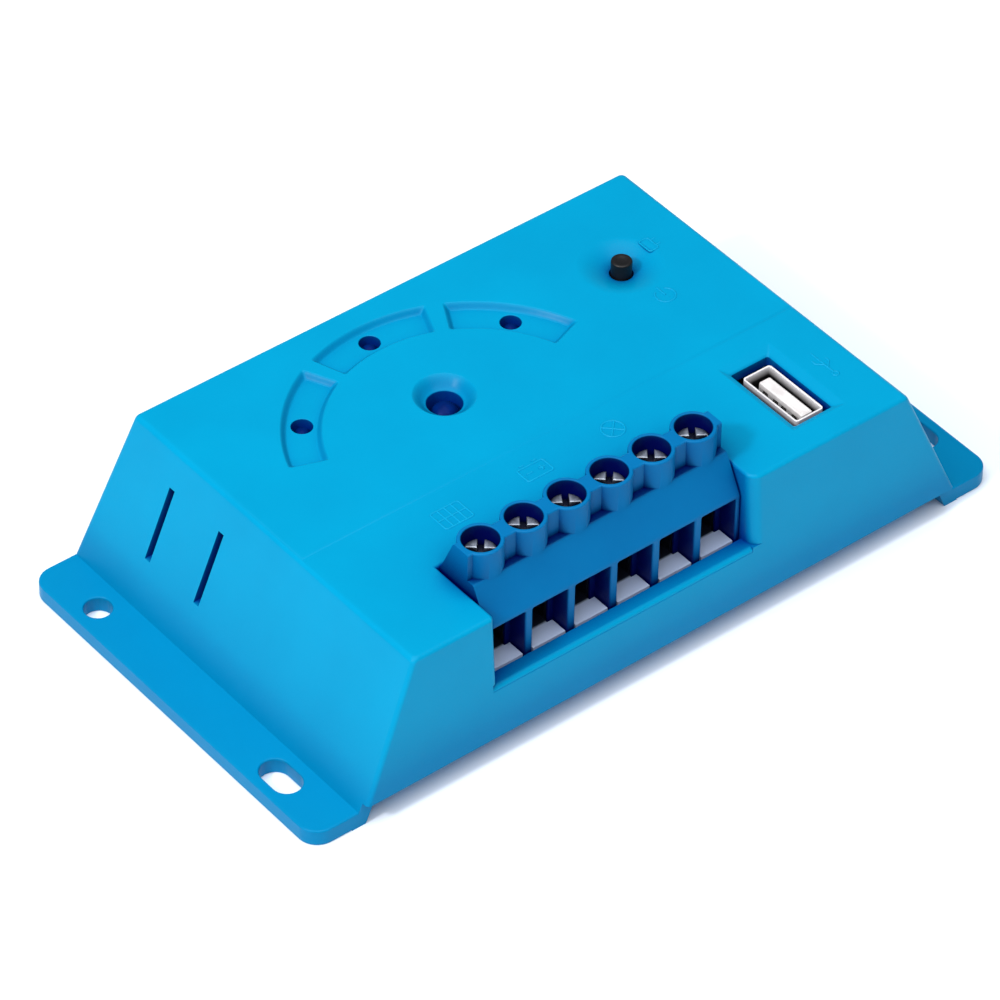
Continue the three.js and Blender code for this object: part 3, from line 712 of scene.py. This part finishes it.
def sill_round():
    """Takes the sharp front edge off the sill."""
    r = 0.8
    y = front_y(SILL_Z)
    outline = [(y - 1, SILL_Z + 0.5), (y - 1, SILL_Z - r)]
    for i in range(6):
        a = math.radians(90 * i / 5)
        outline.append((y + r * (1 - math.cos(a)), SILL_Z - r + r * math.sin(a)))
    outline.append((y + r, SILL_Z + 0.5))
    return along_x("sill", outline, BLOCK_LOW.x - NOTCH_GAP - 0.9, BLOCK_HIGH.x + NOTCH_GAP)


def make_housing():
    obj = combine(hull("housing", 0, 0, ROOF_Z, 0.8, EDGE_R), [flange(1), flange(-1)], "UNION")
    inner = [hull("room", WALL, -1, ROOF_Z - WALL, 0.5, 0)]

    low = end_x(-1) - WALL * math.hypot(1, END_SLOPE)
    high = end_x(SKIRT_Z) - WALL * math.hypot(1, END_SLOPE)
    rings = [[(-x, -50, z), (x, -50, z), (x, 50, z), (-x, 50, z)] for x, z in ((low, -1), (high, SKIRT_Z))]
    inner.append(loft("under_walls", rings))
    inner.append(block("front_gap", -80, 80, -50, FLANGE_FRONT_Y, -1, SKIRT_Z))
    inner.append(block("back_gap", -80, 80, BACK_Y, 50, -1, SKIRT_Z))
    combine(obj, inner, "DIFFERENCE")

    x0 = BLOCK_LOW.x - NOTCH_GAP
    x1 = BLOCK_HIGH.x + NOTCH_GAP
    front = TOP_FRONT_Y - 5
    lining = block("sill_shelf", x0 - 3, x1 + 3, front, BLOCK_LOW.y - NOTCH_GAP, SILL_Z - 2, SILL_Z)
    more = [block("left_return", x0 - 2, x0, front, -30, SILL_Z - 1.5, ROOF_Z - 1)]
    more.append(block("right_return", x1, x1 + 4, front, -30, SILL_Z - 1.5, ROOF_Z - 1))
    more.append(cylinder("collar", BUTTON.x, BUTTON.y, COLLAR_R, *COLLAR_Z, 48))
    tubes = [("charge_led", LAMP_HOLE_R, 23.0)] + [(f"status_led_{i}", LED_HOLE_R, 22.7) for i in (1, 2, 3)]
    for node, hole_r, low in tubes:
        x, y = centre_mm(node).xy
        more.append(cylinder("light_tube", x, y, hole_r + TUBE_WALL, low, ROOF_Z - WALL + 0.3, 48))
    for sx in (-1, 1):
        for sy in (-1, 1):
            more.append(cylinder("boss", sx * BOSS_XY[0], sy * BOSS_XY[1], BOSS_R, *BOSS_Z, 32))
    combine(lining, more, "UNION")
    combine(lining, [hull("limit", 0.2, 0, ROOF_Z - 0.2, 0.8, 0)], "INTERSECT")
    combine(obj, [lining], "UNION")

    cutters = [notch_cutter(), sill_round(), usb_cutter(), dish_cutter()]
    cutters += [arc_cutter(span) for span in GAUGE_ARCS]
    lamp = centre_mm("charge_led")
    cutters.append(lamp_cutter(lamp.x, lamp.y))
    for i in (1, 2, 3):
        led = centre_mm(f"status_led_{i}")
        cutters.append(bore("led_hole", led.x, led.y, LED_HOLE_R, 0.15, ROOF_Z - 7, ROOF_Z - GAUGE_DEPTH))
    groove = [(CREASE_Y - 0.5, ROOF_Z + 0.03), (CREASE_Y, ROOF_Z - 0.11), (CREASE_Y + 0.5, ROOF_Z + 0.03)]
    cutters.append(along_x("crease", groove, -FLANGE_X, FLANGE_X))
    for side in (-1, 1):
        middle = side * end_x(sum(SLIT_Z) / 2)
        for y in SLIT_Y:
            cutters.append(block("slit", middle - 8, middle + 8, y - SLIT_HALF_W, y + SLIT_HALF_W, *SLIT_Z))
        x = side * HOLE_X
        y0, y1 = SLOT_Y - SLOT_HALF_L, SLOT_Y + SLOT_HALF_L
        slot = rounded_rect(x - SLOT_R, x + SLOT_R, y0, y1, SLOT_R - 0.01, 10)
        cutters.append(through_hole("slot", slot, FLANGE_T, 0.3))
        r = ROUND_HOLE_R
        ring = rounded_rect(x - r, x + r, ROUND_HOLE_Y - r, ROUND_HOLE_Y + r, r - 0.01, 10)
        cutters.append(through_hole("hole", ring, FLANGE_T, 0.3))
        for sy in (-1, 1):
            pilot = cylinder("pilot", side * BOSS_XY[0], sy * BOSS_XY[1], PILOT_R, 0, PILOT_TOP_Z, 24)
            cutters.append(pilot)
    combine(obj, cutters, "DIFFERENCE")
    return finish_piece(obj, "top_housing")


# ---------------------------------------------------------------- raised marks


def circle(x, y, r, start=0, end=360):
    """Arc of evenly spaced points. A full circle leaves out its last point, which is its first."""
    steps = max(8, round((end - start) / 12))
    count = steps if end - start == 360 else steps + 1
    angles = [math.radians(start + (end - start) * i / steps) for i in range(count)]
    return [(x + r * math.cos(a), y + r * math.sin(a)) for a in angles]


def make_marks():
    """Generic symbols in low relief: panel, battery, lamp, power and plug."""
    closed = [
        rounded_rect(-27.2, -21.8, -15.7, -11.5, 0.35, 3),
        rounded_rect(-10.5, -5.5, -14.9, -11.9, 0.35, 3),
        circle(7.6, -13.2, 1.9),
        rounded_rect(39.7, 41.5, 16.5, 19.5, 0.3, 3),
        circle(43.6, -24.4, 0.5),
    ]
    lines = [
        [(-25.8, -15.7), (-25.8, -11.5)], [(-24.5, -15.7), (-24.5, -11.5)], [(-23.2, -15.7), (-23.2, -11.5)],
        [(-27.2, -13.6), (-21.8, -13.6)],
        [(-9.6, -11.4), (-8.8, -11.4)], [(-7.2, -11.4), (-6.4, -11.4)],
        [(-9.7, -13.4), (-8.6, -13.4)], [(-7.3, -13.4), (-6.2, -13.4)], [(-6.75, -13.95), (-6.75, -12.85)],
        [(6.3, -14.5), (8.9, -11.9)], [(6.3, -11.9), (8.9, -14.5)],
        circle(34.7, 6.7, 1.7, 125, 415), [(34.7, 6.7), (34.7, 8.9)],
        [(41.5, 17.3), (42.4, 17.3)], [(41.5, 18.7), (42.4, 18.7)],
        [(43.6, -23.9), (43.6, -18.4)],
        [(43.6, -22.6), (44.8, -21.4), (44.8, -20.6)], [(43.6, -21.8), (42.5, -20.8), (42.5, -20.0)],
    ]
    curve = bpy.data.curves.new("marks", "CURVE")
    curve.dimensions = "3D"
    curve.bevel_depth = 0.17 * MM
    curve.bevel_resolution = 2
    curve.use_fill_caps = True
    for points, is_closed in [(c, True) for c in closed] + [(c, False) for c in lines]:
        spline = curve.splines.new("POLY")
        spline.points.add(len(points) - 1)
        for point, (x, y) in zip(spline.points, points):
            point.co = (x * MM, y * MM, (ROOF_Z - 0.07) * MM, 1)
        spline.use_cyclic_u = is_closed
    drawn = bpy.data.objects.new("drawn_marks", curve)
    bpy.context.scene.collection.objects.link(drawn)
    bpy.context.view_layer.update()
    mesh = bpy.data.meshes.new_from_object(drawn.evaluated_get(bpy.context.evaluated_depsgraph_get()))
    bpy.data.objects.remove(drawn)
    obj = bpy.data.objects.new("raised_marks", mesh)
    bpy.context.scene.collection.objects.link(obj)
    smooth(obj, 50)
    obj.data.materials.clear()
    obj.data.materials.append(MATERIALS["raised_plastic"])
    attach(obj, "housing")
    return obj


# ---------------------------------------------------------------- terminal block


def make_terminal_block():
    front, back = BLOCK_LOW.y, BLOCK_HIGH.y
    base = BLOCK_LOW.z
    top = BLOCK_HIGH.z
    outline = [
        (front, base), (back, base), (back, ROOF_Z), (WEB_BACK_Y, top), (WEB_FRONT_Y, top),
        (WEB_FRONT_Y, LEDGE_Z), (LEDGE_Y, LEDGE_Z), (front, BLOCK_FACE_TOP_Z),
    ]
    outline = softened(outline, (3, 4, 6, 7), BLOCK_EDGE, 4)
    obj = along_x("block", outline, BLOCK_LOW.x, BLOCK_HIGH.x)
    towers, cutters = [], []
    for i in POLES:
        x = centre_mm(f"clamp_screw_{i}").x
        edge = [(TOWER_R - 0.3 + grow, z) for z, grow in reversed(rim_levels(top, 0.3))]
        profile = [(0, LEDGE_Z - 1.5), (TOWER_R, LEDGE_Z - 1.5)] + edge + [(0, top)]
        towers.append(lathe("tower", x, TOWER_Y, profile, 72))
        low, high = POCKET_Z
        mouth = rounded_rect(x - POCKET_HALF_X, x + POCKET_HALF_X, low, high, 0.25, 3)
        levels = [(front - 1, 0.35), (front, 0.35), (front + 0.12, 0.12), (front + 0.35, 0), (JAMB_Y, 0)]
        rings = [[(px, y, pz) for px, pz in grown(mouth, amount)] for y, amount in levels]
        cutters.append(loft("entry", rings))
        half = JAMB_HALF_X
        cutters.append(block("opening", x - half, x + half, JAMB_Y - 1, WELL_FRONT_Y + 1, low, high))
        half = POCKET_HALF_X
        cutters.append(block("well", x - half, x + half, WELL_FRONT_Y, back - 0.4, low, WELL_TOP_Z))
        cutters.append(bore("driver_hole", x, TOWER_Y, BORE_R, 0.22, HEAD_TOP_Z - HEAD_T - 0.3, top, 72))
        shaft = cylinder("shaft_hole", x, TOWER_Y, SHAFT_HOLE_R, WELL_TOP_Z - 1, HEAD_TOP_Z - 1, 32)
        cutters.append(shaft)
    combine(obj, towers, "UNION")
    combine(obj, cutters, "DIFFERENCE")
    return finish_piece(obj, "terminal_block")


def make_clamp_screw(i):
    """Clamp screw with a combined slot and cross recess."""
    node = f"clamp_screw_{i}"
    x = centre_mm(node).x
    top = HEAD_TOP_Z
    profile = [(0, SCREW_TIP_Z), (1.6, SCREW_TIP_Z), (THREAD_R, SCREW_TIP_Z + 0.4)]
    z = SCREW_TIP_Z + 0.6
    while z < top - HEAD_T - 0.9:
        profile += [(THREAD_R, z), (THREAD_ROOT_R, z + 0.35)]
        z += THREAD_PITCH
    profile += [(THREAD_R, z), (THREAD_R, top - HEAD_T), (HEAD_R, top - HEAD_T), (HEAD_R, top - 0.5)]
    profile += [(HEAD_R - 0.15, top - 0.2), (HEAD_R - 0.5, top), (0, top)]
    obj = lathe("screw", x, TOWER_Y, profile, 64)
    slots = []
    for turn in (0, 90):
        reach = HEAD_R + 0.5 if turn == 0 else HEAD_R - 0.6
        half = RECESS_HALF_W
        ring = [(-reach, -half), (reach, -half), (reach, half), (-reach, half)]
        levels = [(top - RECESS_DEPTH, -0.1), (top - 0.12, 0), (top, 0.12), (top + 1, 0.12)]
        slot = stacked("slot", ring, levels)
        angle = math.radians(turn + 45 + (17 * i) % 13)
        slot.data.transform(Matrix.Rotation(angle, 4, "Z"))
        slot.data.transform(Matrix.Translation(Vector((x, TOWER_Y, 0)) * MM))
        slots.append(slot)
    combine(obj, slots, "DIFFERENCE")
    return finish_piece(obj, node, 30)


# ---------------------------------------------------------------- USB socket


def make_usb_shell():
    """Folded steel shell with rounded corners and two sprung tongues in each long side."""
    x0, x1 = USB_LOW.x, USB_HIGH.x
    y0, y1 = USB_LOW.y, USB_HIGH.y
    z0, z1 = USB_LOW.z, USB_HIGH.z
    skin = SHELL_SKIN
    outer = rounded_rect(x0, x1, y0, y1, 0.6, 5)
    obj = stacked("shell", outer, [(z0, 0), (z1 - 0.12, 0), (z1 - 0.03, -0.03), (z1, -0.1)])
    levels = [(z0 - 1, -skin), (z1 - 0.15, -skin), (z1 - 0.04, -skin + 0.04), (z1, -skin + 0.12)]
    cutters = [stacked("mouth", outer, levels + [(z1 + 1, -skin + 0.12)])]
    middle = (y0 + y1) / 2
    for x in (x0, x1):
        for y in (middle - 3, middle + 3):
            for side in (-1.25, 1.25):
                cutters.append(block("slot", x - 1, x + 1, y + side - 0.15, y + side + 0.15, z1 - 8, z1 - 2))
            cutters.append(block("slot", x - 1, x + 1, y - 1.4, y + 1.4, z1 - 2.3, z1 - 2))
    combine(obj, cutters, "DIFFERENCE")
    return finish_piece(obj, "usb_shell", look="shell_steel")


def make_usb_tongue():
    """Moulded insert: a base that fills the shell and the blade that carries the contacts."""
    lead = centre_mm("usb_contact_1").x
    blade_x0, blade_x1 = lead, TONGUE_HIGH.x - 0.65
    middle = (TONGUE_LOW.y + TONGUE_HIGH.y) / 2
    base = rounded_rect(TONGUE_LOW.x, TONGUE_HIGH.x, TONGUE_LOW.y, TONGUE_HIGH.y, 0.3, 3)
    obj = stacked("insert", base, [(TONGUE_LOW.z, 0), (INSERT_BASE_Z, 0)])
    blade = rounded_rect(blade_x0, blade_x1, middle - 5.2, middle + 5.2, 0.3, 4)
    top = TONGUE_HIGH.z
    levels = [(TONGUE_LOW.z + 1, 0), (top - 0.45, 0), (top - 0.18, -0.08), (top, -0.32)]
    combine(obj, [stacked("blade", blade, levels)], "UNION")
    channels = []
    for i in range(1, 5):
        y = centre_mm(f"usb_contact_{i}").y
        channels.append(block("channel", blade_x0 - 1, blade_x0 + 0.22, y - 0.62, y + 0.62, 11.5, top - 1.0))
    combine(obj, channels, "DIFFERENCE")
    return finish_piece(obj, "usb_tongue")


# ---------------------------------------------------------------- button and lamps


def make_load_button():
    low = box_mm("load_button")[0].z
    foot_r = 2.15
    edge = [(STEM_R - 0.3 + grow, z) for z, grow in reversed(rim_levels(BUTTON_TOP, 0.3))]
    profile = [(0, low), (foot_r, low), (foot_r, low + 0.9), (STEM_R, low + 0.9)]
    profile += edge + [(1.0, BUTTON_TOP), (0.8, BUTTON_TOP - 0.08), (0, BUTTON_TOP - 0.08)]
    return finish_piece(lathe("button", BUTTON.x, BUTTON.y, profile, 64), "load_button")


def make_lamp(node):
    low, high = box_mm(node)
    x, y = centre_mm(node).xy
    r = (high.x - low.x) / 2 - 0.4
    collar = high.z - r * 3.4
    profile = [(0, collar), (r + 0.4, collar), (r + 0.4, collar + 1), (r, collar + 1)]
    for i in range(12):
        a = math.pi / 2 * i / 12
        profile.append((r * math.cos(a), high.z - r + r * math.sin(a)))
    obj = lathe("lamp", x, y, profile + [(0, high.z)], 40)
    legs = []
    for s in (-1, 1):
        leg_x = x + s * 0.7
        legs.append(block("leg", leg_x - 0.25, leg_x + 0.25, y - 0.25, y + 0.25, low.z, collar + 0.5))
    combine(obj, legs, "UNION")
    return finish_piece(obj, node)


def dress_cad_nodes(replaced):
    """Every CAD node that stays gets its slot's material and softened edges."""
    for node, obj in frame["nodes"].items():
        obj.data.materials.clear()
        obj.data.materials.append(MATERIALS[SLOT_OF[node]])
        if node not in replaced:
            bevel(obj, CAD_BEVEL)


# ---------------------------------------------------------------- stage, lights and camera


def make_floor():
    reach = 3000
    corners = [(-reach, -reach, 0), (reach, -reach, 0), (reach, reach, 0), (-reach, reach, 0)]
    obj = add_mesh("floor", corners, [(0, 1, 2, 3)])
    material, shader = new_material("floor", (0.93, 0.955, 0.99), 0.9, specular=0.0)
    vary_colour(material, shader, (0.925, 0.95, 0.985), (0.935, 0.96, 0.995), 4)
    obj.data.materials.append(material)


def add_light(name, place, size, energy, target=(0, 0, 0.015)):
    """Square soft light aimed at a target, in metres."""
    data = bpy.data.lights.new(name, "AREA")
    data.size = size
    data.energy = energy
    obj = bpy.data.objects.new(name, data)
    obj.location = place
    aim = Vector(target) - Vector(place)
    obj.rotation_euler = aim.to_track_quat("-Z", "Y").to_euler()
    bpy.context.scene.collection.objects.link(obj)


def make_lights():
    world = bpy.data.worlds.new("studio")
    world.use_nodes = True
    background = world.node_tree.nodes["Background"]
    background.inputs["Color"].default_value = (0.9, 0.96, 1, 1)
    background.inputs["Strength"].default_value = 0.2
    bpy.context.scene.world = world
    add_light("overhead", (-0.35, -0.3, 1.1), 1.6, 24, (-0.35, -0.3, 0))
    add_light("left_soft_box", (-0.9, -0.06, 0.85), 0.16, 7)


def make_camera():
    azimuth = math.radians(-39.15)
    elevation = math.radians(41.93)
    roll = math.radians(0.91)
    distance = 963.0
    aim_right, aim_up = -3.02, 5.90
    back = Vector((
        math.sin(azimuth) * math.cos(elevation),
        -math.cos(azimuth) * math.cos(elevation),
        math.sin(elevation),
    ))
    level = Vector((math.cos(azimuth), math.sin(azimuth), 0))
    rise = back.cross(level)
    right = math.cos(roll) * level + math.sin(roll) * rise
    up = math.cos(roll) * rise - math.sin(roll) * level
    data = bpy.data.cameras.new("camera")
    data.sensor_width = 36
    data.lens = 218.1
    data.clip_start = 0.05
    data.clip_end = 20
    obj = bpy.data.objects.new("camera", data)
    turn = Matrix((right, up, back)).transposed()
    place = (right * aim_right + up * aim_up + back * distance) * MM
    obj.matrix_world = Matrix.Translation(place) @ turn.to_4x4()
    bpy.context.scene.collection.objects.link(obj)
    bpy.context.scene.camera = obj


# ---------------------------------------------------------------- scene

make_camera()
make_floor()
make_lights()
bpy.context.scene.view_settings.view_transform = "Standard"

pieces = ["top_housing", "terminal_block", "usb_shell", "usb_tongue", "load_button"]
make_housing()
make_marks()
make_terminal_block()
make_usb_shell()
make_usb_tongue()
make_load_button()
for pole in POLES:
    make_clamp_screw(pole)
    pieces.append(f"clamp_screw_{pole}")
for lamp in ("status_led_1", "status_led_2", "status_led_3", "charge_led"):
    make_lamp(lamp)
    pieces.append(lamp)
dress_cad_nodes(pieces)
